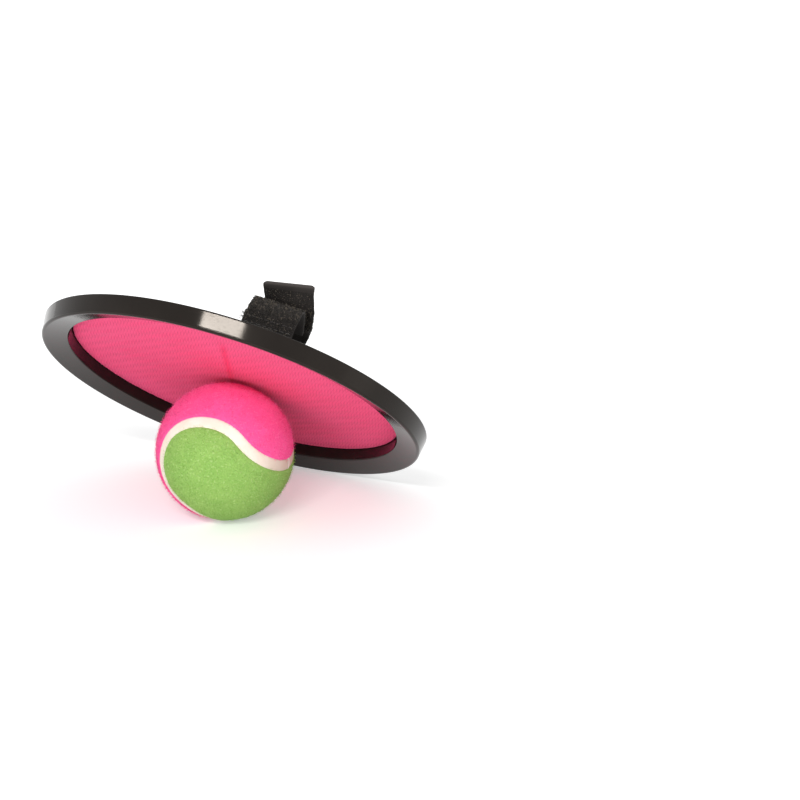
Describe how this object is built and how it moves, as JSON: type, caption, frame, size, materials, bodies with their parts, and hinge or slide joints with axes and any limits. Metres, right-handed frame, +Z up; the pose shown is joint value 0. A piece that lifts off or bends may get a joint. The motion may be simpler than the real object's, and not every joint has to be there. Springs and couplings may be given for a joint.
{
  "type": "hook and loop catch set",
  "caption": "Round hand-strap paddle with a recessed catch-fabric face and a felt ball stuck to it, resting face down on the ball and the rim.",
  "frame": {"origin": "middle of the flat spot that the ball rests on", "axes": "+Z up; +X level, across the lean; +Y towards the side of the rim that the paddle leans on"},
  "size_m": [0.1845, 0.1521, 0.1145],
  "materials": {
    "moulded_plastic": "smooth black moulded plastic, semi-gloss",
    "catch_fabric": "pink fine-knit catch fabric, matte",
    "strap_tape": "black hook and loop tape, matte",
    "core_rubber": "dark moulded rubber",
    "pink_felt": "pink napped felt",
    "green_felt": "light green napped felt",
    "seam_rubber": "cream seam, matte"
  },
  "bodies": {
    "root": {"paddle_disc": "moulded_plastic", "catch_fabric": "catch_fabric", "near_strap": "strap_tape", "far_strap": "strap_tape", "ball_core_half_a": "core_rubber", "ball_core_half_b": "core_rubber", "ball_felt_pink": "pink_felt", "ball_felt_green": "green_felt", "ball_seam": "seam_rubber"}
  },
  "joints": []
}
